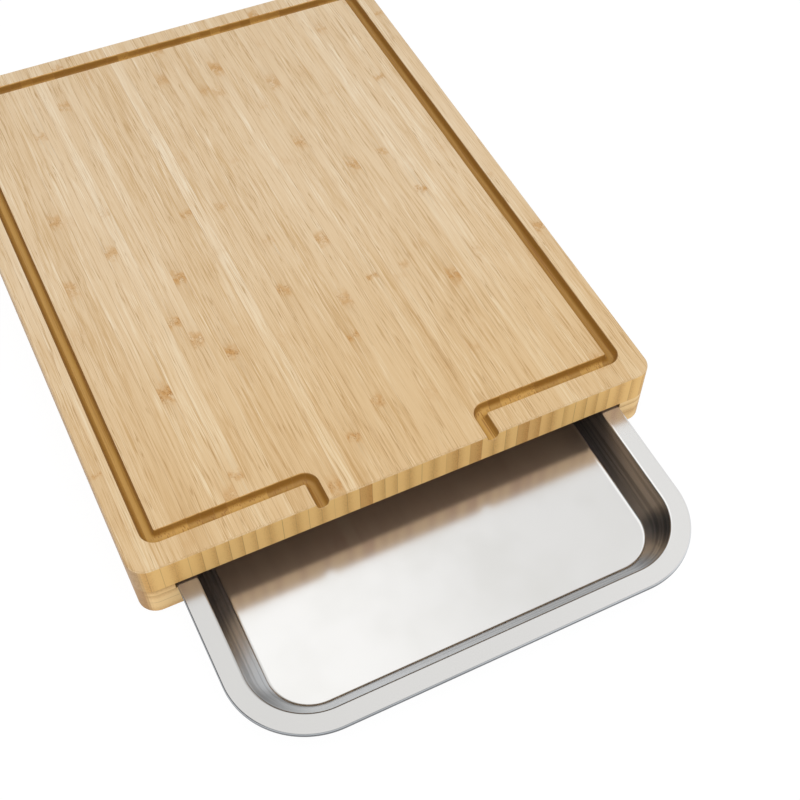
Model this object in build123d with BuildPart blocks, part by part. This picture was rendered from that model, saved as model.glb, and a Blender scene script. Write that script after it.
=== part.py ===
"""Cutting board with a slide-out drip tray.

A slab of upright bamboo strips lies on a U of flat bamboo rails. The middle layer of the U is
narrower than the others, which leaves a slot on three sides, and the turned-down rim of a
pressed steel tray slides in it. X runs along the front edge, +Y runs to the back, +Z is up.
The origin is the centre of the whole footprint, tray pulled out, on the surface it rests on.
"""

import os
from math import cos, radians, sin, tan

from build123d import *

# ---- Board, millimetres ---------------------------------------------------------------------
board_width = 300.0  # along the front edge
board_depth = 390.0  # front to back
slab_thickness = 19.6  # upright strips that form the cutting surface
corner_radius = 10.0  # upright corners, in plan
edge_bevel = 0.8  # outer edges, top and bottom
strip_count = 42  # upright strips side by side

# ---- Frame under the slab: three glued layers, top to bottom ---------------------------------
spacer_thickness = 4.4  # layer that leaves the slot for the rim
upper_rail_thickness = 6.8
lower_rail_thickness = 9.2
spacer_width = 19.0

# ---- Juice groove ----------------------------------------------------------------------------
groove_width = 7.5
groove_depth = 5.0
groove_draft = 15.0  # degrees that its walls lean from upright, above the round bottom
groove_side_inset = 15.3  # edge of the board to the middle of the groove, sides and back
groove_front_inset = 17.8
groove_inner_radius = 0.8  # the nearly sharp inner corners of the groove
drain_spacing = 98.0  # between the two open ends in the front edge

# ---- Tray ------------------------------------------------------------------------------------
sheet_thickness = 0.8
rim_width = 10.0  # flat part of the rim, from the outside of the lip
rim_corner_radius = 45.0
lip_height = 2.7  # turned-down outer lip, from the top of the rim
lip_bend = 1.3  # outside of the lip's bend
tray_depth = 16.6  # top of the rim to the top of the floor
wall_draft = 34.0  # degrees from upright
rim_bend = 1.5  # top of the bend from rim to wall
floor_bend = 2.0  # inside of the bend from wall to floor
tray_pull = 106.6  # how far the tray stands out of the front

# ---- Running clearances ----------------------------------------------------------------------
slot_clearance = 0.75  # rim to the end of the slot, each side and back
rail_clearance = 0.3  # under the lip
bay_clearance = 1.0  # inner edge of the flat rim to the rails

# ---- Levels and places that follow -----------------------------------------------------------
upper_rail_z = lower_rail_thickness
spacer_z = upper_rail_z + upper_rail_thickness
slab_z = spacer_z + spacer_thickness
board_height = slab_z + slab_thickness

front_y = (tray_pull - board_depth) / 2
back_y = front_y + board_depth
board_middle_y = (front_y + back_y) / 2
left_x, right_x = -board_width / 2, board_width / 2

tray_width = board_width - 2 * (spacer_width + slot_clearance)
tray_length = board_depth - spacer_width - slot_clearance
tray_middle_y = front_y - tray_pull + tray_length / 2
rim_z = spacer_z + rail_clearance + lip_height
floor_z = rim_z - tray_depth
rail_width = spacer_width + slot_clearance + rim_width - bay_clearance

os.makedirs("parts", exist_ok=True)


def finish(part, label):
    """Name a finished piece and write it to its own file."""
    part.label = label
    export_step(part, f"parts/{label}.step")


# ---- Outside form of the board, that every bamboo piece is cut from ---------------------------
with BuildPart() as board_form:
    with BuildSketch(Plane.XY):
        with Locations((0, board_middle_y)):
            RectangleRounded(board_width, board_depth, corner_radius)
    extrude(amount=board_height)
    edge_levels = board_form.edges().group_by(Axis.Z)
    chamfer(edge_levels[0] + edge_levels[-1], length=edge_bevel)

# ---- Juice groove: round-bottomed, round three sides, with two drains in the front edge --------
groove_left_x = left_x + groove_side_inset
groove_right_x = right_x - groove_side_inset
groove_front_y = front_y + groove_front_inset
groove_back_y = back_y - groove_side_inset
groove_overrun = groove_width  # the cutter starts and ends this far outside the front edge
groove_rise = 0.5  # and stands this far above the surface

groove_lean = tan(radians(groove_draft))  # sideways for each millimetre of height
bottom_radius = (groove_width / 2 - groove_depth * groove_lean) / (
    1 / cos(radians(groove_draft)) - groove_lean
)
bottom_middle = groove_depth - bottom_radius  # below the surface
wall_foot_x = bottom_radius * cos(radians(groove_draft))
wall_foot_depth = bottom_middle + bottom_radius * sin(radians(groove_draft))
wall_top_x = groove_width / 2 + groove_rise * groove_lean

with BuildPart() as juice_groove:
    with BuildLine(Plane.XY.offset(board_height)) as groove_path:
        FilletPolyline(
            (-drain_spacing / 2, front_y - groove_overrun),
            (-drain_spacing / 2, groove_front_y),
            (groove_left_x, groove_front_y),
            (groove_left_x, groove_back_y),
            (groove_right_x, groove_back_y),
            (groove_right_x, groove_front_y),
            (drain_spacing / 2, groove_front_y),
            (drain_spacing / 2, front_y - groove_overrun),
            radius=groove_inner_radius + groove_width / 2,
        )
    # on this plane, y counts down into the board
    mouth = Plane(
        origin=(-drain_spacing / 2, front_y - groove_overrun, board_height),
        x_dir=(1, 0, 0),
        z_dir=(0, 1, 0),
    )
    with BuildSketch(mouth):
        with Locations((0, bottom_middle)):
            Circle(bottom_radius)
        Polygon(
            (-wall_top_x, -groove_rise),
            (wall_top_x, -groove_rise),
            (wall_foot_x, wall_foot_depth),
            (-wall_foot_x, wall_foot_depth),
            align=None,
        )
    sweep(path=groove_path.wires()[0])

# ---- Slab: upright strips, side by side from left to right -------------------------------------
with BuildPart() as slab_form:
    add(board_form.part)
    with BuildSketch(Plane.XY.offset(slab_z)):
        with Locations((0, board_middle_y)):
            Rectangle(board_width, board_depth)
    extrude(amount=slab_thickness, mode=Mode.INTERSECT)
    add(juice_groove.part, mode=Mode.SUBTRACT)

strip_width = board_width / strip_count
for number in range(1, strip_count + 1):
    strip_x = left_x + (number - 0.5) * strip_width
    with BuildPart() as top_strip:
        add(slab_form.part)
        with BuildSketch(Plane.XY.offset(slab_z)):
            with Locations((strip_x, board_middle_y)):
                Rectangle(strip_width, board_depth)
        extrude(amount=slab_thickness, mode=Mode.INTERSECT)
    finish(top_strip.part, f"top_strip_{number:02d}")

# ---- Frame: on each layer a left and a right rail, and a back rail between them -----------------
frame_layers = (
    ("spacer", spacer_z, spacer_thickness, spacer_width),
    ("upper_rail", upper_rail_z, upper_rail_thickness, rail_width),
    ("lower_rail", 0.0, lower_rail_thickness, rail_width),
)
for layer, layer_z, layer_thickness, layer_width in frame_layers:
    sides = (
        ("left", left_x + layer_width / 2, board_middle_y, layer_width, board_depth),
        ("right", right_x - layer_width / 2, board_middle_y, layer_width, board_depth),
        ("back", 0.0, back_y - layer_width / 2, board_width - 2 * layer_width, layer_width),
    )
    for side, middle_x, middle_y, size_x, size_y in sides:
        with BuildPart() as rail:
            add(board_form.part)
            with BuildSketch(Plane.XY.offset(layer_z)):
                with Locations((middle_x, middle_y)):
                    Rectangle(size_x, size_y)
            extrude(amount=layer_thickness, mode=Mode.INTERSECT)
        finish(rail.part, f"{side}_{layer}")

# ---- Tray: one pressed sheet, with a flat rim, a turned-down lip and a drafted basin ------------
draft_run = tan(radians(wall_draft))  # sideways for each millimetre of height
bend_run = tan(radians((90 - wall_draft) / 2))  # tangent length for each millimetre of radius
skin_offset = sheet_thickness / cos(radians(wall_draft)) - sheet_thickness * draft_run

floor_inset = rim_width + rim_bend * bend_run + tray_depth * draft_run
floor_corner_radius = rim_corner_radius - floor_inset
underside_bevel = sheet_thickness  # keeps the sheet's thickness round the bend at the floor
cut_overrun = 1.0  # the hollow's cutter stands above the rim

with BuildPart() as basin_hollow:
    with BuildSketch(Plane.XY.offset(floor_z)):
        with Locations((0, tray_middle_y)):
            RectangleRounded(
                tray_width - 2 * floor_inset,
                tray_length - 2 * floor_inset,
                floor_corner_radius,
            )
    extrude(amount=tray_depth + cut_overrun, taper=-wall_draft)
    fillet(basin_hollow.edges().group_by(Axis.Z)[0], radius=floor_bend)

with BuildPart() as tray:
    # rim and lip, as one skirted plate
    with BuildSketch(Plane.XY.offset(rim_z - lip_height)):
        with Locations((0, tray_middle_y)):
            RectangleRounded(tray_width, tray_length, rim_corner_radius)
    extrude(amount=lip_height)
    with BuildSketch(Plane.XY.offset(rim_z - lip_height)):
        with Locations((0, tray_middle_y)):
            RectangleRounded(
                tray_width - 2 * sheet_thickness,
                tray_length - 2 * sheet_thickness,
                rim_corner_radius - sheet_thickness,
            )
    extrude(amount=lip_height - sheet_thickness, mode=Mode.SUBTRACT)

    # outside of the basin, growing from the underside of the floor up to the rim
    with BuildSketch(Plane.XY.offset(floor_z - sheet_thickness)):
        with Locations((0, tray_middle_y)):
            RectangleRounded(
                tray_width - 2 * (floor_inset - skin_offset),
                tray_length - 2 * (floor_inset - skin_offset),
                floor_corner_radius + skin_offset,
            )
    extrude(amount=tray_depth + sheet_thickness, taper=-wall_draft)
    chamfer(tray.edges().group_by(Axis.Z)[0], length=underside_bevel)

    add(basin_hollow.part, mode=Mode.SUBTRACT)

    # bends from rim to wall and from rim to lip
    rim_top = tray.faces().sort_by(Axis.Z)[-1]
    fillet(rim_top.inner_wires()[0].edges(), radius=rim_bend)
    rim_top = tray.faces().sort_by(Axis.Z)[-1]
    fillet(rim_top.outer_wire().edges(), radius=lip_bend)
finish(tray.part, "tray")
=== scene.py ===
"""Looks of a bamboo cutting board with a steel drip tray that slides out of its front.

The board is a slab of upright bamboo strips on a U of flat bamboo rails. The tray is one pressed
sheet. Lengths are in metres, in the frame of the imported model: X along the front edge, +Y to the
back, +Z up, and the origin on the surface that the board rests on.
"""

from __future__ import annotations

import logging
import math
from dataclasses import dataclass
from enum import Enum
import bpy
from mathutils import Euler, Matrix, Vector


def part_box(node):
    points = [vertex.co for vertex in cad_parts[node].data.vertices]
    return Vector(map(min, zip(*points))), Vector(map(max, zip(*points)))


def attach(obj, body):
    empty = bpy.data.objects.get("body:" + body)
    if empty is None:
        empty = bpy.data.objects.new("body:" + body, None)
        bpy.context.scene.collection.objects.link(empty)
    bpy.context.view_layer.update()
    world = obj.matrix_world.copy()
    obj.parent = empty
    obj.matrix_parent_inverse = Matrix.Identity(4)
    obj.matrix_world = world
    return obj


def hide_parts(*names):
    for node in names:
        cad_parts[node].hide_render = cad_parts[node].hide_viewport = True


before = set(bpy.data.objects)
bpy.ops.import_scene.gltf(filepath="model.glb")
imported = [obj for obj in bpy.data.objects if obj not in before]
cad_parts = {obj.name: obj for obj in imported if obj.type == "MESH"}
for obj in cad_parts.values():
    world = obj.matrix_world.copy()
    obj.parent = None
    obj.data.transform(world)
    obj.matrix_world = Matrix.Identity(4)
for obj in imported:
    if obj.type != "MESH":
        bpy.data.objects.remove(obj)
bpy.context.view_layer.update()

log = logging.getLogger("cutting_board")

MM = 0.001
COLOUR_MIX = (0, 6, 7)  # the mix node's inputs for the share and the two colours
COLOUR_MIXED = 2  # and its output

Node = bpy.types.Node
Tree = bpy.types.NodeTree
Socket = bpy.types.NodeSocket
Value = Socket | float
Colour = tuple[float, float, float, float]


# ---- Colours and wiring ----


def srgb(red: int, green: int, blue: int) -> Colour:
    """Turn a colour as a screen shows it into Blender's linear light.

    Args:
        red: Red, 0 to 255.
        green: Green, 0 to 255.
        blue: Blue, 0 to 255.

    Returns:
        Linear red, green and blue, and full opacity.
    """

    def linear(level: int) -> float:
        """Straighten one channel."""
        share = level / 255
        return share / 12.92 if share <= 0.04045 else ((share + 0.055) / 1.055) ** 2.4

    return (linear(red), linear(green), linear(blue), 1.0)


@dataclass(frozen=True)
class Ease:
    """A smooth step: where it starts and ends, and what it gives at and beyond each end."""

    start: Value
    end: Value
    at_start: Value = 0.0
    at_end: Value = 1.0


@dataclass(frozen=True)
class Noise:
    """Smooth noise: cells to the unit, octaves, and how strong the finer ones are."""

    scale: float
    detail: float = 2.0
    roughness: float = 0.5


@dataclass
class Wiring:
    """Adds and links the nodes of one shader tree or node group."""

    tree: Tree

    def add(self, kind: str, **settings: object) -> Node:
        """Add a node.

        Args:
            kind: Type of the node.
            settings: Properties to set on it.

        Returns:
            The new node.
        """
        node = self.tree.nodes.new(kind)
        for name, value in settings.items():
            setattr(node, name, value)
        return node

    def feed(self, socket: Socket, value: Value | Colour) -> None:
        """Link a socket to an output, or set it to a plain value.

        Args:
            socket: The input.
            value: An output socket, a number or a colour.
        """
        if isinstance(value, Socket):
            self.tree.links.new(value, socket)
        else:
            socket.default_value = value

    def math(self, operation: str, *values: Value) -> Socket:
        """Work out a scalar.

        Args:
            operation: The operation.
            values: What it works on.

        Returns:
            The result.
        """
        node = self.add("ShaderNodeMath", operation=operation)
        for socket, value in zip(node.inputs, values):
            self.feed(socket, value)
        return node.outputs[0]

    def plus(self, first: Value, second: Value) -> Socket:
        """The sum."""
        return self.math("ADD", first, second)

    def minus(self, first: Value, second: Value) -> Socket:
        """The difference."""
        return self.math("SUBTRACT", first, second)

    def times(self, first: Value, second: Value) -> Socket:
        """The product."""
        return self.math("MULTIPLY", first, second)

    def larger(self, first: Value, second: Value) -> Socket:
        """The larger of two values."""
        return self.math("MAXIMUM", first, second)

    def size(self, value: Value) -> Socket:
        """The value without its sign."""
        return self.math("ABSOLUTE", value)

    def above(self, value: Value, limit: Value) -> Socket:
        """1 above the limit, 0 elsewhere."""
        return self.math("GREATER_THAN", value, limit)

    def below(self, value: Value, limit: Value) -> Socket:
        """1 below the limit, 0 elsewhere."""
        return self.math("LESS_THAN", value, limit)

    def between(self, value: Value, low: Value, high: Value) -> Socket:
        """1 between the limits, 0 elsewhere."""
        return self.times(self.above(value, low), self.below(value, high))

    def ease(self, value: Value, step: Ease) -> Socket:
        """Send a value through a smooth step.

        Args:
            value: What is read.
            step: The step.

        Returns:
            The result.
        """
        node = self.add("ShaderNodeMapRange", interpolation_type="SMOOTHSTEP")
        for name, source in (
            ("Value", value),
            ("From Min", step.start),
            ("From Max", step.end),
            ("To Min", step.at_start),
            ("To Max", step.at_end),
        ):
            self.feed(node.inputs[name], source)
        return node.outputs["Result"]

    def blend(
        self, share: Value, first: Socket | Colour, second: Socket | Colour, mode: str = "MIX"
    ) -> Socket:
        """Mix two colours.

        Args:
            share: Share of the second colour.
            first: First colour.
            second: Second colour.
            mode: Blender's blend mode.

        Returns:
            The mixed colour.
        """
        node = self.add("ShaderNodeMix", data_type="RGBA", blend_type=mode)
        for number, value in zip(COLOUR_MIX, (share, first, second)):
            self.feed(node.inputs[number], value)
        return node.outputs[COLOUR_MIXED]

    def noise(self, place: Socket, noise: Noise) -> Socket:
        """Read a smooth noise.

        Args:
            place: Where it is read.
            noise: The noise.

        Returns:
            A value from 0 to 1, mostly near 0.5.
        """
        node = self.add("ShaderNodeTexNoise")
        self.feed(node.inputs["Vector"], place)
        node.inputs["Scale"].default_value = noise.scale
        node.inputs["Detail"].default_value = noise.detail
        node.inputs["Roughness"].default_value = noise.roughness
        return node.outputs["Fac"]

    def centred(self, value: Value) -> Socket:
        """A value from 0 to 1, moved to lie about 0."""
        return self.minus(value, 0.5)

    def chance(self, *parts: Value) -> Node:
        """Draw at random for whole numbers.

        Args:
            parts: Up to three whole numbers.

        Returns:
            The node, with a Value and a Color to draw from.
        """
        node = self.add("ShaderNodeTexWhiteNoise", noise_dimensions="3D")
        self.feed(node.inputs["Vector"], self.join(*parts))
        return node

    def split(self, vector: Socket) -> list[Socket]:
        """Take a vector or colour apart.

        Args:
            vector: The vector.

        Returns:
            Its three parts.
        """
        node = self.add("ShaderNodeSeparateXYZ")
        self.feed(node.inputs[0], vector)
        return list(node.outputs)

    def join(self, *parts: Value) -> Socket:
        """Put a vector together.

        Args:
            parts: Up to three parts; the rest are 0.

        Returns:
            The vector.
        """
        node = self.add("ShaderNodeCombineXYZ")
        for socket, part in zip(node.inputs, parts):
            self.feed(socket, part)
        return node.outputs[0]

    def bump(self, shader: Node, height: Socket, strength: float, depth: float) -> None:
        """Give a shader a fine relief.

        Args:
            shader: The shader.
            height: The relief, about 0 to 1.
            strength: How much of it shows.
            depth: How deep it is, in metres.
        """
        relief = self.add("ShaderNodeBump")
        relief.inputs["Strength"].default_value = strength
        relief.inputs["Distance"].default_value = depth
        self.feed(relief.inputs["Height"], height)
        self.feed(shader.inputs["Normal"], relief.outputs["Normal"])


def new_group(
    name: str, inputs: dict[str, object], outputs: tuple[str, ...]
) -> tuple[Wiring, Node, Node]:
    """Start a shader node group.

    Args:
        name: The group's name.
        inputs: Default value of each input; a tuple makes a vector input.
        outputs: Names of its outputs, each a number.

    Returns:
        The wiring of the new group, its input node and its output node.
    """
    tree = bpy.data.node_groups.new(name, "ShaderNodeTree")
    for label, value in inputs.items():
        kind = "NodeSocketVector" if isinstance(value, tuple) else "NodeSocketFloat"
        socket = tree.interface.new_socket(label, in_out="INPUT", socket_type=kind)
        socket.default_value = value
    for label in outputs:
        tree.interface.new_socket(label, in_out="OUTPUT", socket_type="NodeSocketFloat")
    given = tree.nodes.new("NodeGroupInput")
    result = tree.nodes.new("NodeGroupOutput")
    return Wiring(tree), given, result


def new_material(name: str) -> tuple[bpy.types.Material, Wiring, Node]:
    """Start a material.

    Args:
        name: The material's name.

    Returns:
        The material, its wiring and its shader.
    """
    material = bpy.data.materials.new(name)
    material.use_nodes = True
    wiring = Wiring(material.node_tree)
    return material, wiring, material.node_tree.nodes["Principled BSDF"]


def surface_place(wiring: Wiring) -> tuple[list[Socket], list[Socket]]:
    """Read where on the object the surface lies.

    Args:
        wiring: A material's wiring.

    Returns:
        X, Y and Z in metres, and the same in millimetres.
    """
    metres = wiring.split(wiring.add("ShaderNodeTexCoord").outputs["Object"])
    return metres, [wiring.times(part, 1 / MM) for part in metres]


def surface_normal(wiring: Wiring) -> list[Socket]:
    """X, Y and Z of the way that the surface faces."""
    return wiring.split(wiring.add("ShaderNodeNewGeometry").outputs["True Normal"])


# ---- Grain of bamboo ----


@dataclass(frozen=True)
class GrainPlace:
    """Where the grain is read, in millimetres, and the wiring that reads it.

    Across is the way from one glue joint to the next, and along is the way the fibres run.
    """

    wiring: Wiring
    given: Node  # the group's input node
    across: Socket
    along: Socket  # moved by chance for each strip
    layer: Socket  # depth, set apart for each strip
    number: Socket  # the strip's number


@dataclass(frozen=True)
class Patches:
    """Soft patches that make another effect stronger or weaker."""

    across: float  # how much faster they change across the strips
    along: float  # and along them
    layer: float  # sets them apart from the other patches
    noise: Noise
    ease: Ease

    def read(self, place: GrainPlace) -> Socket:
        """Read the patches.

        Args:
            place: Where they are read.

        Returns:
            The strength of the effect.
        """
        wiring = place.wiring
        across = wiring.times(place.across, self.across)
        along = wiring.times(place.along, self.along)
        where = wiring.join(across, along, self.layer)
        return wiring.ease(wiring.noise(where, self.noise), self.ease)


@dataclass(frozen=True)
class Fibres:
    """Fine fibres, broader bands, pale hatching and thin dark streaks."""

    stretch: float = 0.018  # how much slower the grain changes along the fibres
    sway: Noise = Noise(0.016)
    sway_width: float = 2.2  # mm
    fine: Noise = Noise(1.5, 4.0, 0.72)
    bands: Noise = Noise(0.42)
    drift: Noise = Noise(0.012, 1.0)  # slow change of tone along a strip
    drift_layer: float = 1.0
    strip_draw: tuple[float, float] = (5.0, 1.0)
    relief: Patches = Patches(2.5, 0.12, 6.0, Noise(0.06), Ease(0.36, 0.64, 0.55, 1.35))
    fine_share: float = 1.4
    band_share: float = 0.35
    drift_share: float = 0.3
    strip_share: float = 0.26
    hatched: Patches = Patches(4.0, 0.3, 9.0, Noise(0.05), Ease(0.5, 0.66))
    hatching: Noise = Noise(2.4, 2.0, 0.6)
    hatch: Ease = Ease(0.46, 0.66, -0.08, 0.3)
    streaks: Noise = Noise(0.7, 2.0, 0.55)
    streak_line: Ease = Ease(0.0, 0.03, 1.0, 0.0)  # off the noise's middle
    streaky: Patches = Patches(1.0, 0.08, 4.0, Noise(0.22), Ease(0.36, 0.62))

    def read(self, place: GrainPlace) -> tuple[Socket, Socket, Socket]:
        """Read the fibres.

        Args:
            place: Where they are read.

        Returns:
            The fibre noise about 0, the tone about 0.5, and the streaks from 0 to 1.
        """
        wiring = place.wiring
        sway_noise = wiring.noise(wiring.join(place.number, place.along, 0.0), self.sway)
        sway = wiring.times(wiring.centred(sway_noise), self.sway_width)
        swayed = wiring.plus(place.across, sway)
        stretched = wiring.join(swayed, wiring.times(place.along, self.stretch), place.layer)
        fine = wiring.centred(wiring.noise(stretched, self.fine))
        drift_place = wiring.join(place.number, place.along, self.drift_layer)
        strip = wiring.chance(place.number, *self.strip_draw).outputs["Value"]
        tone = 0.5
        for share, source in (
            (self.fine_share, wiring.times(fine, self.relief.read(place))),
            (self.band_share, wiring.centred(wiring.noise(stretched, self.bands))),
            (self.drift_share, wiring.centred(wiring.noise(drift_place, self.drift))),
            (self.strip_share, wiring.centred(strip)),
        ):
            tone = wiring.plus(tone, wiring.times(source, share))
        hatch = wiring.ease(wiring.noise(stretched, self.hatching), self.hatch)
        tone = wiring.plus(tone, wiring.times(hatch, self.hatched.read(place)))

        from_line = wiring.size(wiring.centred(wiring.noise(stretched, self.streaks)))
        line = wiring.ease(from_line, self.streak_line)
        return fine, tone, wiring.times(line, self.streaky.read(place))


@dataclass(frozen=True)
class CulmNodes:
    """Culm nodes: a soft smudge across the strip, darker flecks in it, and tails along it."""

    spacing: float = 210.0  # mm
    spacing_least: float = 0.75  # share of it
    spacing_range: float = 0.5
    strength: Ease = Ease(0.05, 1.0, 0.12, 1.0)
    size: Ease = Ease(0.0, 1.0, 0.45, 1.3)
    squeeze: float = 0.6  # of the noise along the fibres
    wobble: Noise = Noise(0.3)
    wobble_width: float = 9.0  # mm
    cloud: Noise = Noise(0.34, 3.0, 0.62)
    cloud_ease: Ease = Ease(0.34, 0.58)
    length: float = 9.0  # mm, how far the smudge runs out along the fibres
    flecks: Noise = Noise(1.5, 2.0, 0.65)
    fleck_ease: Ease = Ease(0.5, 0.66)
    fleck_length: float = 0.7  # of the smudge's
    tail: Ease = Ease(2.0, 32.0, 0.8, 0.0)  # mm from the node

    def read(self, place: GrainPlace, strip: Socket) -> tuple[Socket, Socket, Socket]:
        """Read the culm nodes.

        Args:
            place: Where they are read.
            strip: A number from 0 to 1 for each strip.

        Returns:
            The smudge, its flecks and its tails, each from 0 to 1.
        """
        wiring, given = place.wiring, place.given
        spread = wiring.plus(self.spacing_least, wiring.times(strip, self.spacing_range))
        spacing = wiring.times(spread, self.spacing)
        places = wiring.math("DIVIDE", place.along, spacing)
        from_node = wiring.times(wiring.centred(wiring.math("FRACT", places)), spacing)
        draw = wiring.chance(place.number, wiring.math("FLOOR", places), given.outputs["Seed"])
        strength_draw, size_draw, _ = wiring.split(draw.outputs["Color"])
        strength = wiring.ease(strength_draw, self.strength)
        size = wiring.ease(size_draw, self.size)
        where = wiring.join(place.across, wiring.times(place.along, self.squeeze), place.number)
        wobble = wiring.centred(wiring.noise(where, self.wobble))
        distance = wiring.size(wiring.plus(from_node, wiring.times(wobble, self.wobble_width)))

        parts = []
        for noise, ease, length in (
            (self.cloud, self.cloud_ease, self.length),
            (self.flecks, self.fleck_ease, self.length * self.fleck_length),
        ):
            near = wiring.ease(distance, Ease(0.0, wiring.times(size, length), 1.0, 0.0))
            shape = wiring.times(near, wiring.ease(wiring.noise(where, noise), ease))
            parts.append(wiring.times(shape, strength))
        smudge, fleck = parts
        return smudge, fleck, wiring.times(wiring.ease(distance, self.tail), strength)


@dataclass(frozen=True)
class GlueJoints:
    """Thin darker lines between the strips, stronger at some than at others."""

    draw: float = 11.0
    strength: Ease = Ease(0.0, 1.0, 0.3, 1.0)
    change: Noise = Noise(0.02)  # along the joint
    change_layer: float = 2.0
    change_ease: Ease = Ease(0.3, 0.6, 0.5, 1.0)
    line: Ease = Ease(0.04, 0.26, 1.0, 0.0)  # mm from the joint

    def read(self, place: GrainPlace, strips: Socket) -> Socket:
        """Read the joints.

        Args:
            place: Where they are read.
            strips: The way across, counted in strips.

        Returns:
            1 in the middle of a strong joint, 0 away from every joint.
        """
        wiring, given = place.wiring, place.given
        nearest = wiring.math("ROUND", strips)
        off = wiring.size(wiring.minus(strips, nearest))
        gap = wiring.times(off, given.outputs["Pitch"])
        draw = wiring.chance(nearest, given.outputs["Seed"], self.draw)
        where = wiring.join(nearest, place.along, self.change_layer)
        changing = wiring.noise(where, self.change)
        strength = wiring.times(
            wiring.ease(draw.outputs["Value"], self.strength),
            wiring.ease(changing, self.change_ease),
        )
        return wiring.times(wiring.ease(gap, self.line), strength)


@dataclass(frozen=True)
class BambooGrain:
    """Grain of glued bamboo strips, as a node group that reads places in millimetres."""

    name: str = "bamboo_grain"
    fibres: Fibres = Fibres()
    culm_nodes: CulmNodes = CulmNodes()
    joints: GlueJoints = GlueJoints()
    strip_draw: float = 3.0
    shift_range: float = 900.0  # mm along the fibres, strip to strip
    layer_step: float = 7.3  # mm in depth, strip to strip
    tail_fibres: Ease = Ease(-0.02, 0.16)  # the fibres that a culm node's tail darkens
    dots_per_mm: float = 1.15  # fibre bundles, cut across
    dot_stretch: float = 0.02  # of the bundles, along the fibres
    dot_edge: Ease = Ease(0.18, 0.5, 1.0, 0.0)
    dot_density: Ease = Ease(0.0, 1.0, 0.3, 1.0)  # inside to outside of the culm
    fibre_relief: float = 0.8  # against that of the joints

    def build(self) -> Tree:
        """Build the group.

        Returns:
            The node group.
        """
        outputs = ("Tone", "Streak", "Node", "Core", "Joint", "Strip", "Outer", "Dots", "Height")
        inputs = {
            "Place": (0.0, 0.0, 0.0),
            "First Joint": 0.0,
            "Pitch": 1.0,
            "Seed": 0.0,
        }
        wiring, given, result = new_group(self.name, inputs, outputs)
        across, along, deep = wiring.split(given.outputs["Place"])
        from_first = wiring.minus(across, given.outputs["First Joint"])
        strips = wiring.math("DIVIDE", from_first, given.outputs["Pitch"])
        number = wiring.math("FLOOR", strips)
        draw = wiring.chance(number, given.outputs["Seed"], self.strip_draw)
        strip, flip_draw, shift_draw = wiring.split(draw.outputs["Color"])

        # the outer side of the culm is darker and denser, and lies left or right by chance
        flip = wiring.above(flip_draw, 0.5)
        outer = wiring.size(wiring.minus(wiring.math("FRACT", strips), flip))

        place = GrainPlace(
            wiring=wiring,
            given=given,
            across=across,
            along=wiring.plus(along, wiring.times(shift_draw, self.shift_range)),
            layer=wiring.plus(deep, wiring.times(number, self.layer_step)),
            number=number,
        )
        fine, tone, streak = self.fibres.read(place)
        smudge, fleck, tail = self.culm_nodes.read(place, strip)
        streak = wiring.larger(streak, wiring.times(tail, wiring.ease(fine, self.tail_fibres)))
        joint = self.joints.read(place, strips)
        height = wiring.minus(wiring.times(fine, self.fibre_relief), joint)

        # fibre bundles, which end grain shows as dots
        cells = wiring.add("ShaderNodeTexVoronoi", feature="F1")
        cells_place = wiring.join(across, wiring.times(along, self.dot_stretch), deep)
        wiring.feed(cells.inputs["Vector"], cells_place)
        cells.inputs["Scale"].default_value = self.dots_per_mm
        dots = wiring.ease(cells.outputs["Distance"], self.dot_edge)
        dots = wiring.times(dots, wiring.ease(outer, self.dot_density))
        values = (tone, streak, smudge, fleck, joint, strip, outer, dots, height)
        for label, value in zip(outputs, values):
            wiring.feed(result.inputs[label], value)
        return wiring.tree


@dataclass(frozen=True)
class FineClouds:
    """Faint wiped clouds and hairline brushing, for the gloss of every finish."""

    name: str = "fine_clouds"
    clouds: Noise = Noise(1.0, 3.0, 0.55)
    cloud_scale: float = 0.03
    hairs: Noise = Noise(3.5, 3.0, 0.7)
    hair_stretch: float = 0.02

    def build(self) -> Tree:
        """Build the group.

        Returns:
            The node group, which reads a place in millimetres.
        """
        inputs = {"Place": (0.0, 0.0, 0.0), "Cloud Scale": self.cloud_scale}
        wiring, given, result = new_group(self.name, inputs, ("Cloud", "Brush"))
        scaled = wiring.add("ShaderNodeVectorMath", operation="SCALE")
        wiring.feed(scaled.inputs[0], given.outputs["Place"])
        wiring.feed(scaled.inputs["Scale"], given.outputs["Cloud Scale"])
        across, along, deep = wiring.split(given.outputs["Place"])
        hairs = wiring.join(across, wiring.times(along, self.hair_stretch), deep)
        wiring.feed(result.inputs["Cloud"], wiring.noise(scaled.outputs[0], self.clouds))
        wiring.feed(result.inputs["Brush"], wiring.noise(hairs, self.hairs))
        return wiring.tree


# ---- Finishes ----


class FibreWay(Enum):
    """How the strips of a bamboo piece lie: (across, along, deep) as axes of the frame."""

    UPRIGHT_DEPTHWISE = (0, 1, 2)  # joints along X, fibres along Y
    FLAT_DEPTHWISE = (2, 1, 0)  # joints along Z, fibres along Y
    FLAT_WIDTHWISE = (2, 0, 1)  # joints along Z, fibres along X


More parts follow.
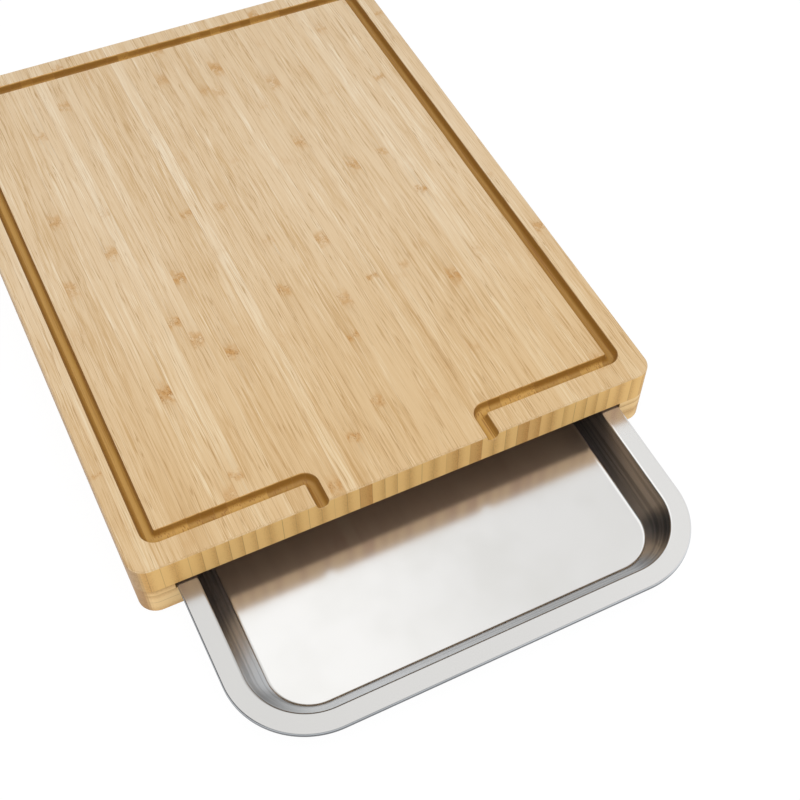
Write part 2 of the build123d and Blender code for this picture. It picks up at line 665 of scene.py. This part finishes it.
@dataclass(frozen=True)
class RoutedGroove:
    """Where the juice groove is cut, in metres, for the colour of its walls: toasted wood with
    painted shade.
    """

    top: float  # height of the surface that it is cut in
    front: float  # y of the front face
    back: float  # y of the back face
    side: float  # x of the right face
    side_edge: float = 11.5 * MM  # face to the groove's outer edge, sides and back
    front_edge: float = 14.0 * MM
    drain_place: float = 49.0 * MM
    drain_half: float = 3.8 * MM
    drain_reach: float = 28.0 * MM  # front face to the end of a drain's field
    depth: float = 5.0 * MM
    margin: float = 0.25 * MM  # round every limit
    edge: Ease = Ease(-1.0 * MM, -0.1 * MM, 1.0, 0.0)  # height over top

    def share(self, wiring: Wiring, place: list[Socket]) -> Socket:
        """Tell the routed surface from the rest.

        Args:
            wiring: The material's wiring.
            place: X, Y and Z of the surface, in metres.

        Returns:
            1 inside the groove and 0 elsewhere.
        """
        across, along, height = place
        sideways = wiring.size(across)
        from_drain = wiring.size(wiring.minus(sideways, self.drain_place))
        in_drain = wiring.times(
            wiring.below(from_drain, self.drain_half),
            wiring.between(along, self.front + self.margin, self.front + self.drain_reach),
        )
        near = self.front + self.front_edge - self.margin
        far = self.back - self.side_edge + self.margin
        in_field = wiring.times(
            wiring.below(sideways, self.side - self.side_edge + self.margin),
            wiring.between(along, near, far),
        )
        above_bottom = wiring.above(height, self.top - self.depth - self.margin)
        inside = wiring.times(wiring.larger(in_field, in_drain), above_bottom)
        toast_and_wall_shade = wiring.ease(wiring.minus(height, self.top), self.edge)
        return wiring.times(toast_and_wall_shade, inside)


@dataclass(frozen=True)
class BambooFinish:
    """Oiled bamboo: long grain, end grain, and the colours of what a cutter has routed: toasted,
    with painted shade on the groove's walls.
    """

    name: str
    way: FibreWay
    pitch: float  # mm, glue joint to glue joint
    first_joint: float  # mm
    seed: float

    pale: Colour = srgb(240, 222, 193)
    middle: Colour = srgb(227, 200, 162)
    deep: Colour = srgb(206, 171, 122)
    deep_ease: Ease = Ease(0.12, 0.5)  # tone from deep to middle
    pale_ease: Ease = Ease(0.48, 0.88)  # and from middle to pale
    streak_brown: Colour = srgb(182, 144, 92)
    streak_share: float = 0.8
    node_brown: Colour = srgb(204, 158, 98)
    core_brown: Colour = srgb(172, 124, 66)
    golden_front_for_painted_sheen: Colour = srgb(247, 239, 222)  # tint of the front half; the back half, left paler, is painted sheen
    painted_sheen_ease: Ease = Ease(-0.14, 0.1, 1.0, 0.0)  # y, m; over it the painted sheen fades in towards the back
    upright_painted_shade: Colour = srgb(222, 208, 184)  # tint of the upright faces, darker and more golden: painted shade
    upright_shade_ease: Ease = Ease(0.3, 0.8, 1.0, 0.0)  # upward part of the normal, for the painted shade

    end_facing: Ease = Ease(0.72, 0.92)  # part of the normal along the fibres
    end_pale: Colour = srgb(242, 197, 122)
    end_deep: Colour = srgb(200, 146, 74)
    end_dots: Colour = srgb(152, 102, 40)
    end_strip: Ease = Ease(0.0, 0.3, 0.45, 1.0)  # few strips are dark
    end_outer: Ease = Ease(0.2, 1.0, 1.0, 0.55)  # each is darker to the outside of its culm
    end_tone_share: float = 0.2
    end_ease: Ease = Ease(0.2, 1.1)
    end_dot_share: Ease = Ease(0.2, 1.0, 0.55, 0.12)

    routed_pale: Colour = srgb(208, 163, 84)
    routed_deep: Colour = srgb(156, 111, 40)
    routed_wall_shade: Ease = Ease(0.3, 0.98, 0.9, 0.1)  # upward part of the normal; walls darker than the bottom, as painted shade
    routed_ease: Ease = Ease(0.2, 1.5)
    routed_dot_share: float = 0.9

    joint_brown: Colour = srgb(168, 122, 68)
    joint_share: Ease = Ease(0.0, 1.0, 0.4, 0.75)  # long grain to end grain
    steel_veil: Colour = srgb(176, 156, 154)  # the wood as the steel mirrors it
    veil_share: float = 0.45
    roughness: float = 0.5
    cloud_gloss: float = 0.16
    end_gloss: float = 0.14
    bump_strength: float = 0.6
    bump_depth: float = 0.05 * MM
    groove: RoutedGroove | None = None

    def build(self, grain: Tree, clouds: Tree) -> bpy.types.Material:
        """Build the material.

        Args:
            grain: The bamboo grain group.
            clouds: The fine clouds group.

        Returns:
            The finished material.
        """
        material, wiring, shader = new_material(self.name)
        metres, millimetres = surface_place(wiring)
        turned = wiring.join(*(millimetres[axis] for axis in self.way.value))
        strips = wiring.add("ShaderNodeGroup", node_tree=grain)
        wiped = wiring.add("ShaderNodeGroup", node_tree=clouds)
        for reader in (strips, wiped):
            wiring.feed(reader.inputs["Place"], turned)
        strips.inputs["First Joint"].default_value = self.first_joint
        strips.inputs["Pitch"].default_value = self.pitch
        strips.inputs["Seed"].default_value = self.seed

        normal = surface_normal(wiring)
        facing = wiring.size(normal[self.way.value[1]])
        end_share = wiring.ease(facing, self.end_facing)
        colour = self._long_grain(wiring, strips)
        # painted sheen: the back half stays paler than the golden front
        tint = wiring.ease(metres[1], self.painted_sheen_ease)
        colour = wiring.blend(tint, colour, self.golden_front_for_painted_sheen, "MULTIPLY")
        # painted shade: upright faces tinted darker and more golden than the top
        upright = wiring.ease(normal[2], self.upright_shade_ease)
        colour = wiring.blend(upright, colour, self.upright_painted_shade, "MULTIPLY")
        colour = wiring.blend(end_share, colour, self._end_grain(wiring, strips))
        if self.groove is not None:
            routed = self._routed(wiring, strips, normal[2])
            colour = wiring.blend(self.groove.share(wiring, metres), colour, routed)
        joint_share = wiring.ease(end_share, self.joint_share)
        joint_share = wiring.times(strips.outputs["Joint"], joint_share)
        colour = wiring.blend(joint_share, colour, self.joint_brown)
        in_steel = wiring.add("ShaderNodeLightPath").outputs["Is Glossy Ray"]
        colour = wiring.blend(wiring.times(in_steel, self.veil_share), colour, self.steel_veil)
        wiring.feed(shader.inputs["Base Color"], colour)

        gloss = wiring.times(wiring.centred(wiped.outputs["Cloud"]), self.cloud_gloss)
        rough = wiring.plus(self.roughness, gloss)
        rough = wiring.plus(rough, wiring.times(end_share, self.end_gloss))
        wiring.feed(shader.inputs["Roughness"], rough)
        wiring.bump(shader, strips.outputs["Height"], self.bump_strength, self.bump_depth)
        return material

    def _long_grain(self, wiring: Wiring, strips: Node) -> Socket:
        """Colour of a face that the fibres run along.

        Args:
            wiring: The material's wiring.
            strips: The grain group's node.

        Returns:
            The colour.
        """
        tone = strips.outputs["Tone"]
        colour = wiring.blend(wiring.ease(tone, self.deep_ease), self.deep, self.middle)
        colour = wiring.blend(wiring.ease(tone, self.pale_ease), colour, self.pale)
        streak = wiring.times(strips.outputs["Streak"], self.streak_share)
        colour = wiring.blend(streak, colour, self.streak_brown)
        colour = wiring.blend(strips.outputs["Node"], colour, self.node_brown)
        return wiring.blend(strips.outputs["Core"], colour, self.core_brown)

    def _routed(self, wiring: Wiring, strips: Node, upward: Socket) -> Socket:
        """Colour of the groove: toasted wood, walls darker than the paler bottom as painted shade,
        and the ends of fibres as dots.

        Args:
            wiring: The material's wiring.
            strips: The grain group's node.
            upward: Upward part of the surface's normal.

        Returns:
            The colour.
        """
        # painted shade: the walls of the groove darker than its bottom
        toast_and_wall_shade = wiring.plus(wiring.ease(upward, self.routed_wall_shade), strips.outputs["Strip"])
        deeper = wiring.ease(toast_and_wall_shade, self.routed_ease)
        colour = wiring.blend(deeper, self.routed_pale, self.routed_deep)
        dots = wiring.times(strips.outputs["Dots"], self.routed_dot_share)
        return wiring.blend(dots, colour, self.end_dots)

    def _end_grain(self, wiring: Wiring, strips: Node) -> Socket:
        """Colour of a face that cuts across the fibres.

        Args:
            wiring: The material's wiring.
            strips: The grain group's node.

        Returns:
            The colour.
        """
        strip_tone = wiring.ease(strips.outputs["Strip"], self.end_strip)
        side_tone = wiring.ease(strips.outputs["Outer"], self.end_outer)
        fine_tone = wiring.times(strips.outputs["Tone"], self.end_tone_share)
        tone = wiring.plus(wiring.times(strip_tone, side_tone), fine_tone)
        colour = wiring.blend(wiring.ease(tone, self.end_ease), self.end_deep, self.end_pale)
        dots = wiring.times(strips.outputs["Dots"], wiring.ease(tone, self.end_dot_share))
        return wiring.blend(dots, colour, self.end_dots)


@dataclass(frozen=True)
class SteelFinish:
    """Stainless sheet: a bright floor, a wall with faint rings, a brushed rim with a painted
    reflection darker on the left, and a lip darkened as a painted dark reflection.
    """

    name: str
    rim_level: float  # m, height of the flat rim
    colour: Colour = srgb(232, 231, 229)
    smudged: Colour = srgb(226, 225, 222)
    smudge: Ease = Ease(0.35, 0.75)
    cloud_scale: float = 0.02
    wall: Colour = srgb(212, 216, 221)
    ring: Colour = srgb(136, 139, 142)  # darker level lines across the wall
    ring_noise: Noise = Noise(0.32, 3.0, 0.6)
    ring_stretch: tuple[float, float, float] = (0.012, 0.012, 1.0)
    ring_share: Ease = Ease(0.46, 0.6, 0.0, 0.55)
    lip: Colour = srgb(98, 100, 103)  # the turned-down edge, darkened as a painted dark reflection
    lip_reflection_ease: Ease = Ease(0.1, 0.45, 1.0, 0.0)  # how far the surface faces up or down, for the painted dark reflection
    rim_left_reflection: Colour = srgb(202, 201, 199)
    rim_right_reflection: Colour = srgb(234, 233, 231)
    rim_reflection_drift: Ease = Ease(-0.13, 0.13)  # x, m, over which the rim's tone drifts, a painted reflection darker on the left
    roughness: float = 0.15
    wall_roughness: float = 0.19
    rim_roughness: float = 0.18
    cloud_gloss: float = 0.03
    brush_gloss: float = 0.03
    bump_strength: float = 0.06
    bump_depth: float = 0.01 * MM
    depth: float = 16.6 * MM
    margin: float = 0.6 * MM  # height over which one zone ends
    margin_start: float = 0.2  # share of it that still belongs to the zone

    def build(self, clouds: Tree) -> bpy.types.Material:
        """Build the material.

        Args:
            clouds: The fine clouds group.

        Returns:
            The finished material.
        """
        material, wiring, shader = new_material(self.name)
        metres, millimetres = surface_place(wiring)
        wiped = wiring.add("ShaderNodeGroup", node_tree=clouds)
        wiring.feed(wiped.inputs["Place"], wiring.join(*millimetres))
        wiped.inputs["Cloud Scale"].default_value = self.cloud_scale
        cloud, brush = wiped.outputs["Cloud"], wiped.outputs["Brush"]
        start = self.margin_start * self.margin
        rim, floor = self.rim_level, self.rim_level - self.depth
        on_rim = wiring.ease(metres[2], Ease(rim - self.margin, rim - start))
        off_floor = wiring.ease(metres[2], Ease(floor + start, floor + self.margin))

        colour = wiring.blend(wiring.ease(cloud, self.smudge), self.colour, self.smudged)
        ring_place = wiring.join(
            *(wiring.times(part, stretch) for part, stretch in zip(millimetres, self.ring_stretch))
        )
        rings = wiring.ease(wiring.noise(ring_place, self.ring_noise), self.ring_share)
        wall = wiring.blend(rings, self.wall, self.ring)
        colour = wiring.blend(off_floor, colour, wall)
        # painted reflection: the rim darker on the left and paler on the right
        drift = wiring.ease(metres[0], self.rim_reflection_drift)
        rim_reflection_colour = wiring.blend(drift, self.rim_left_reflection, self.rim_right_reflection)
        colour = wiring.blend(on_rim, colour, rim_reflection_colour)
        level = wiring.size(surface_normal(wiring)[2])
        # painted dark reflection: the sideways-facing lip darkened to a thin dark line
        colour = wiring.blend(wiring.ease(level, self.lip_reflection_ease), colour, self.lip)
        wiring.feed(shader.inputs["Base Color"], colour)

        rough = wiring.ease(off_floor, Ease(0.0, 1.0, self.roughness, self.wall_roughness))
        rough = wiring.ease(on_rim, Ease(0.0, 1.0, rough, self.rim_roughness))
        rough = wiring.plus(rough, wiring.times(cloud, self.cloud_gloss))
        rough = wiring.plus(rough, wiring.times(brush, self.brush_gloss))
        wiring.feed(shader.inputs["Roughness"], rough)
        shader.inputs["Metallic"].default_value = 1.0
        wiring.bump(shader, brush, self.bump_strength, self.bump_depth)
        return material


# ---- Modelling helpers ----


def deselect_all() -> None:
    """Leave nothing selected or active, so that an operator acts on new work alone."""
    for thing in bpy.context.selected_objects:
        thing.select_set(False)
    bpy.context.view_layer.objects.active = None


def apply_modifier(piece: bpy.types.Object, kind: str, **settings: object) -> None:
    """Add a modifier to the active object and apply it.

    Args:
        piece: The active object.
        kind: Type of the modifier.
        settings: Properties to set on it.
    """
    modifier = piece.modifiers.new(kind.lower(), kind)
    for setting, value in settings.items():
        setattr(modifier, setting, value)
    bpy.ops.object.modifier_apply(modifier=modifier.name)


def dress(thing: bpy.types.Object, material: bpy.types.Material) -> None:
    """Give an object one material all over.

    Args:
        thing: A CAD node or a new piece.
        material: The finish.
    """
    if not thing.material_slots:
        thing.data.materials.append(material)
    for material_slot in thing.material_slots:
        material_slot.material = material


# ---- Sub-assemblies ----


@dataclass
class Slab:
    """The cutting surface: upright strips, side by side, with the juice groove."""

    strip_count: int = 42
    seed: float = 5.0

    def dress(self, grain: Tree, clouds: Tree) -> None:
        """Give every strip the upright grain.

        Args:
            grain: The bamboo grain group.
            clouds: The fine clouds group.
        """
        names = [f"top_strip_{number:02d}" for number in range(1, self.strip_count + 1)]
        low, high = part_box(names[0])
        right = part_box(names[-1])[1].x
        front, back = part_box(names[self.strip_count // 2])
        finish = BambooFinish(
            name="bamboo_upright_oiled",
            way=FibreWay.UPRIGHT_DEPTHWISE,
            pitch=(right - low.x) / self.strip_count / MM,
            first_joint=low.x / MM,
            seed=self.seed,
            groove=RoutedGroove(top=high.z, front=front.y, back=back.y, side=right),
        )
        material = finish.build(grain, clouds)
        for name in names:
            dress(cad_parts[name], material)
        log.info("slab: %d strips dressed", len(names))


@dataclass
class RailFrame:
    """The U of flat rails under the slab, in three glued layers."""

    layers: tuple[str, ...] = ("spacer", "upper_rail", "lower_rail")
    sides: tuple[str, ...] = ("left", "right", "back")
    first_seed: int = 20

    def dress(self, grain: Tree, clouds: Tree) -> None:
        """Give each rail the flat grain that runs along it.

        Args:
            grain: The bamboo grain group.
            clouds: The fine clouds group.
        """
        names = [f"{side}_{layer}" for layer in self.layers for side in self.sides]
        for seed, name in enumerate(names, self.first_seed):
            low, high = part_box(name)
            lies_across = name.startswith("back")
            finish = BambooFinish(
                name=f"bamboo_{name}_oiled",
                way=FibreWay.FLAT_WIDTHWISE if lies_across else FibreWay.FLAT_DEPTHWISE,
                pitch=(high.z - low.z) / MM,
                first_joint=low.z / MM,
                seed=seed,
                pale=srgb(230, 200, 152),
                middle=srgb(220, 184, 132),
                deep=srgb(200, 160, 104),
                end_pale=srgb(248, 211, 150),
            )
            dress(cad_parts[name], finish.build(grain, clouds))
            log.info("rail frame: %s dressed", name)


@dataclass
class DripTray:
    """The pressed tray: turned-down lip, flat rim, drafted wall and flat floor, in millimetres."""

    name: str = "drip_tray"
    sheet: float = 0.8
    rim: float = 10.0  # flat part, from the outside of the lip
    rim_corner: float = 45.0
    lip_height: float = 2.7
    lip_bend: float = 1.3
    depth: float = 16.6
    draft: float = 34.0  # degrees from upright
    rim_bend: float = 1.5
    floor_bend: float = 2.0
    corner_steps: int = 32
    bend_steps: int = 8
    flat_margin: float = 0.25  # ring that keeps a flat face flat next to a bend
    smooth_angle: float = 35.0  # degrees
    smooth_weight: int = 100

    def build(self) -> bpy.types.Object:
        """Model the tray as one rounded plate, drawn in ring by ring from the lip to the floor.

        Returns:
            The finished piece, at the origin.
        """
        low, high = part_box("tray")
        middle = (low + high) / 2
        deselect_all()
        bpy.ops.mesh.primitive_plane_add(size=MM, location=(0.0, 0.0, 0.0))
        piece = bpy.context.active_object
        piece.name = self.name
        bpy.ops.object.mode_set(mode="EDIT")
        self._round_plate((high.x - low.x) / MM, (high.y - low.y) / MM)
        bpy.ops.transform.translate(value=(middle.x, middle.y, high.z - self.lip_height * MM))
        for inset, rise in self._rings():
            bpy.ops.mesh.inset(thickness=inset * MM, depth=rise * MM, use_even_offset=True)
        bpy.ops.object.mode_set(mode="OBJECT")
        self._thicken(piece)
        log.info("drip tray: %d faces", len(piece.data.polygons))
        return piece

    def _round_plate(self, width: float, length: float) -> None:
        """Size the one-millimetre square, round its corners and select its face.

        Args:
            width: Along X, mm.
            length: Along Y, mm.
        """
        bpy.ops.mesh.select_mode(type="VERT")
        bpy.ops.transform.resize(value=(width, length, 1.0), center_override=(0.0, 0.0, 0.0))
        bpy.ops.mesh.bevel(
            offset=self.rim_corner * MM,
            offset_type="OFFSET",
            segments=self.corner_steps,
            affect="VERTICES",
            clamp_overlap=False,
        )
        bpy.ops.mesh.select_mode(type="FACE")

    def _rings(self) -> list[tuple[float, float]]:
        """Work out the rings of the section, from the lower edge of the lip to the floor.

        Returns:
            Inset and rise of each ring against the one before, mm.
        """
        slope = 90.0 - self.draft
        bends_drop = (self.rim_bend + self.floor_bend) * (1 - math.cos(math.radians(slope)))
        wall_drop = self.depth - bends_drop
        wall_run = wall_drop * math.tan(math.radians(self.draft))
        return [
            (0.0, self.lip_height - self.lip_bend),
            *self._bend(self.lip_bend, 90.0, 0.0, rise=1.0),
            (self.flat_margin, 0.0),
            (self.rim - self.lip_bend - 2 * self.flat_margin, 0.0),
            (self.flat_margin, 0.0),
            *self._bend(self.rim_bend, 0.0, slope, rise=-1.0),
            (wall_run, -wall_drop),
            *self._bend(self.floor_bend, slope, 0.0, rise=-1.0),
            (self.flat_margin, 0.0),
        ]

    def _bend(
        self, radius: float, start: float, end: float, rise: float
    ) -> list[tuple[float, float]]:
        """Bend the sheet in equal turns.

        Args:
            radius: Radius of the bend on the face that is seen, mm.
            start: Slope before the bend, in degrees from level.
            end: Slope after it.
            rise: 1 where the sheet climbs inwards, -1 where it falls.

        Returns:
            Inset and rise of each ring of the bend, mm.
        """
        slopes = [
            math.radians(start + (end - start) * number / self.bend_steps)
            for number in range(self.bend_steps + 1)
        ]
        return [
            (
                radius * abs(math.sin(after) - math.sin(before)),
                rise * radius * abs(math.cos(after) - math.cos(before)),
            )
            for before, after in zip(slopes, slopes[1:])
        ]

    def _thicken(self, piece: bpy.types.Object) -> None:
        """Give the sheet its thickness below the face that is seen, and smooth its bends.

        Args:
            piece: The tray, without thickness.
        """
        apply_modifier(
            piece, "SOLIDIFY", thickness=self.sheet * MM, offset=-1.0, use_even_offset=True
        )
        bpy.ops.object.shade_smooth_by_angle(angle=math.radians(self.smooth_angle))
        apply_modifier(piece, "WEIGHTED_NORMAL", keep_sharp=True, weight=self.smooth_weight)

    def dress(self, piece: bpy.types.Object, clouds: Tree) -> None:
        """Give the tray its steel, and put it in the place of the plain one.

        Args:
            piece: The finished tray.
            clouds: The fine clouds group.
        """
        rim_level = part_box("tray")[1].z
        dress(piece, SteelFinish("steel_satin", rim_level).build(clouds))
        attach(piece, "tray")
        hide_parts("tray")


# ---- Studio ----


@dataclass(frozen=True)
class CameraPlace:
    """Where the photograph was taken from: metres, degrees, and the shift of its crop."""

    from_front: tuple[float, float, float] = (-0.15997, -0.32126, 0.56283)  # off the board's front
    turn: tuple[float, float, float] = (32.739, -2.0548, -27.2)
    focal_pixels: float = 1224.684
    centre_pixels: tuple[float, float] = (454.939, 505.185)
    picture_pixels: float = 800.0
    sensor_mm: float = 36.0
    nearest: float = 0.01  # m, where the picture starts

    def build(self) -> None:
        """Add the camera and make it the scene's own."""
        data = bpy.data.cameras.new("photo_camera")
        data.sensor_width = self.sensor_mm
        data.lens = self.focal_pixels * self.sensor_mm / self.picture_pixels
        half = self.picture_pixels / 2
        data.shift_x = (half - self.centre_pixels[0]) / self.picture_pixels
        data.shift_y = (self.centre_pixels[1] - half) / self.picture_pixels
        data.clip_start = self.nearest
        camera = bpy.data.objects.new("photo_camera", data)
        front_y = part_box("top_strip_21")[0].y
        camera.location = (self.from_front[0], front_y + self.from_front[1], self.from_front[2])
        camera.rotation_euler = Euler([math.radians(angle) for angle in self.turn], "XYZ")
        bpy.context.scene.collection.objects.link(camera)
        bpy.context.scene.camera = camera


@dataclass
class Studio:
    """Plain pale floor, one large soft box overhead, and a pale room.

    The room is white to the eye and even to matt surfaces. In mirrors it is darker towards its
    horizon and on the right, and paler far right and in front.
    """

    floor_size: float = 8.0
    floor_drop: float = 0.05 * MM
    floor_white: float = 0.9
    floor_plain: float = 1.03  # strength of the floor's plain look
    shadow_share: float = 0.08  # of the floor's look that takes the shadow
    box_size: float = 2.2
    box_place: tuple[float, float, float] = (0.0, -0.8, 1.5)
    box_power: float = 15.0
    room_light: float = 0.66
    height_gloss: Ease = Ease(0.42, 0.75, 0.06, 1.19)  # Z of the direction
    right_gloss: Ease = Ease(0.15, 0.32, 1.0, 0.77)  # X
    far_right_gloss: Ease = Ease(0.5, 0.72, 0.0, 0.9)  # X
    front_gloss: Ease = Ease(-0.5, -0.2, 0.62, 0.0)  # Y

    def build(self) -> None:
        """Add the floor, the lamp, the room and the camera."""
        self._floor()
        self._soft_box()
        self._room()
        CameraPlace().build()
        bpy.context.scene.view_settings.view_transform = "Standard"
        log.info("studio: floor, soft box, room and camera")

    def _floor(self) -> None:
        """A white floor that keeps a faint shadow.

        Camera, mirror and glass rays see it nearly plain; the light's own rays see it lit.
        """
        deselect_all()
        bpy.ops.mesh.primitive_plane_add(size=self.floor_size, location=(0.0, 0.0, 0.0))
        floor = bpy.context.active_object
        floor.name = "floor"
        floor.location.z = -self.floor_drop
        material, wiring, shader = new_material("floor_white")
        nodes = material.node_tree.nodes
        nodes.remove(shader)
        lit = wiring.add("ShaderNodeBsdfDiffuse")
        lit.inputs["Color"].default_value = (self.floor_white,) * 3 + (1.0,)
        plain = wiring.add("ShaderNodeEmission")
        plain.inputs["Strength"].default_value = self.floor_plain
        rays = wiring.add("ShaderNodeLightPath").outputs
        seen = wiring.larger(rays["Is Camera Ray"], rays["Is Glossy Ray"])
        seen = wiring.larger(seen, rays["Is Transmission Ray"])
        mixed = wiring.add("ShaderNodeMixShader")
        wiring.feed(mixed.inputs[0], wiring.times(seen, 1 - self.shadow_share))
        wiring.feed(mixed.inputs[1], lit.outputs[0])
        wiring.feed(mixed.inputs[2], plain.outputs[0])
        wiring.feed(nodes["Material Output"].inputs["Surface"], mixed.outputs[0])
        dress(floor, material)

    def _soft_box(self) -> None:
        """The lamp overhead, which mirrors don't show."""
        data = bpy.data.lights.new("soft_box", "AREA")
        data.size = self.box_size
        data.energy = self.box_power
        lamp = bpy.data.objects.new("soft_box", data)
        lamp.location = self.box_place
        lamp.visible_glossy = False
        bpy.context.scene.collection.objects.link(lamp)

    def _room(self) -> None:
        """The room around, as a world."""
        world = bpy.data.worlds.new("pale_room")
        bpy.context.scene.world = world
        world.use_nodes = True
        wiring = Wiring(world.node_tree)
        rays = wiring.add("ShaderNodeLightPath").outputs
        way = wiring.split(wiring.add("ShaderNodeTexCoord").outputs["Generated"])
        gloss = wiring.times(
            wiring.ease(way[2], self.height_gloss), wiring.ease(way[0], self.right_gloss)
        )
        gloss = wiring.larger(gloss, wiring.ease(way[0], self.far_right_gloss))
        gloss = wiring.larger(gloss, wiring.ease(way[1], self.front_gloss))
        light = wiring.ease(rays["Is Glossy Ray"], Ease(0.0, 1.0, self.room_light, gloss))
        clear = wiring.larger(rays["Is Camera Ray"], rays["Is Transmission Ray"])
        room = world.node_tree.nodes["Background"]
        wiring.feed(room.inputs["Strength"], wiring.larger(light, clear))
        room.inputs["Color"].default_value = (1.0, 1.0, 1.0, 1.0)


def main() -> None:
    """Build and dress everything, in order."""
    logging.basicConfig(level=logging.INFO, format="%(name)s: %(message)s")
    Studio().build()
    grain = BambooGrain().build()
    clouds = FineClouds().build()
    Slab().dress(grain, clouds)
    RailFrame().dress(grain, clouds)
    tray = DripTray()
    tray.dress(tray.build(), clouds)


if __name__ == "__main__":
    main()
